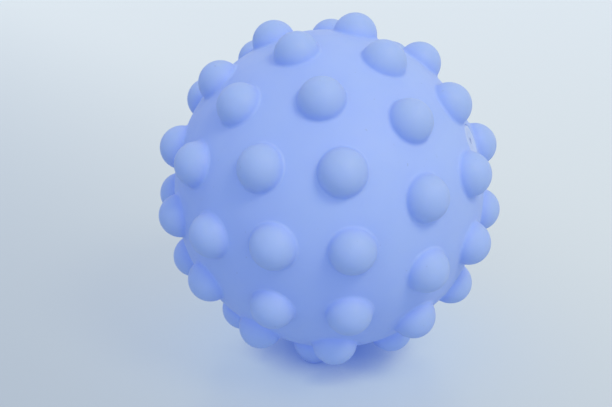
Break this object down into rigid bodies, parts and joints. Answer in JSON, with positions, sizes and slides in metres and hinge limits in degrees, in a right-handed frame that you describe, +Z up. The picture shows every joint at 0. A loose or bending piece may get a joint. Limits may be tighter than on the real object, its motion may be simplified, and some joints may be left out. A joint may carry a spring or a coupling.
{
  "type": "sensory ball",
  "caption": "Soft hollow baby ball with rows of round moulded bumps all over and a small squeaker pressed into its moulding port.",
  "frame": {"origin": "on the floor, straight below the centre of the ball's body, level with the lowest points of the three bumps it lies on", "axes": "+Z up; +X to the right and +Y away from the viewer in the picture's view; the mould axis leans 3 degrees off level and is turned 19.5 degrees off the X axis"},
  "size_m": [0.0757, 0.0769, 0.0761],
  "materials": {
    "soft_vinyl": "soft powdery matte, lavender blue through the wall",
    "case_plastic": "satin pale lavender polyethylene",
    "core_plastic": "satin natural plastic",
    "reed_film": "smooth stiff film"
  },
  "bodies": {
    "ball": {"ball_shell": "soft_vinyl", "squeaker_case": "case_plastic", "squeaker_core": "core_plastic"},
    "reed": {"squeaker_reed": "reed_film"}
  },
  "joints": [
    {"name": "reed_beat", "type": "hinge", "parent": "ball", "child": "reed", "pos_m": [0.02353, -0.00747, 0.04902], "axis": [-0.4128, -0.8246, 0.3867], "range_deg": [-4, 10], "stiffness_Nm_per_rad": 0.000002}
  ]
}
